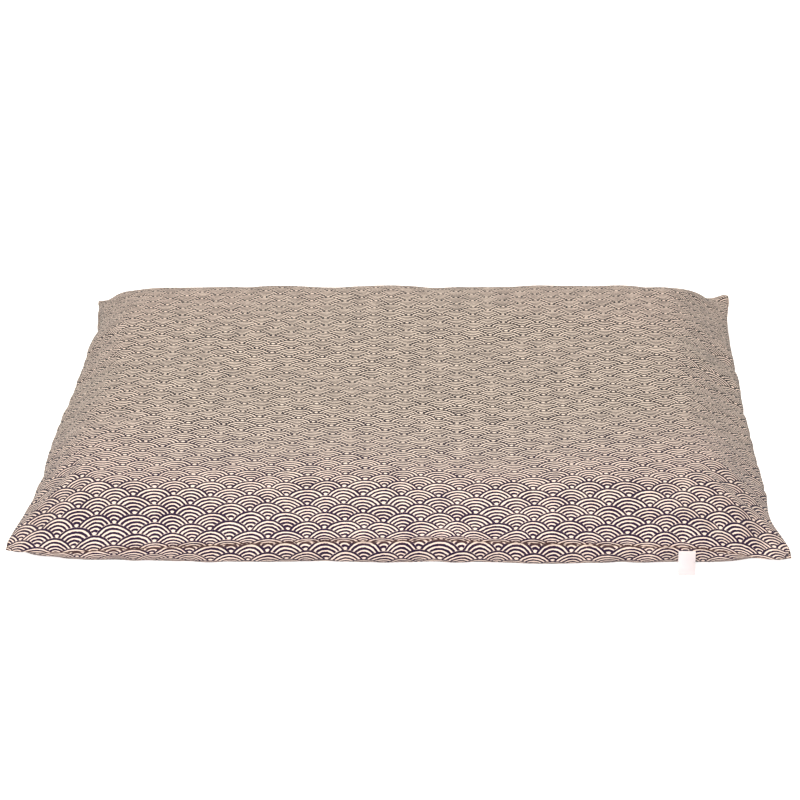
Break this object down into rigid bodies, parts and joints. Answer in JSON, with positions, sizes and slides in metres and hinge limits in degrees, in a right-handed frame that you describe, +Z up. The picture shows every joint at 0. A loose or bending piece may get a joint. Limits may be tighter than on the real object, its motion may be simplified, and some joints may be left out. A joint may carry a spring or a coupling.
{
  "type": "zabuton floor cushion",
  "caption": "Flat rectangular floor cushion in wave-printed cotton: two panels sewn edge to edge, low crown, pinched seam, drawn-in sides, soft corner ears, plain sewn-in label.",
  "frame": {"origin": "On the flat underside, at the height of the surface that the cushion rests on, under the middle of the cushion", "axes": "+X along the long side, to the right seen from the front; +Y from the front seam, which holds the label, to the back seam; +Z up"},
  "size_m": [0.899, 0.6691, 0.0717],
  "materials": {
    "printed_cotton": "plain-woven cotton with a dark wave print, matte",
    "label_satin": "white satin ribbon, bare, soft sheen"
  },
  "bodies": {
    "root": {"cushion": "printed_cotton", "label": "label_satin"}
  },
  "joints": []
}
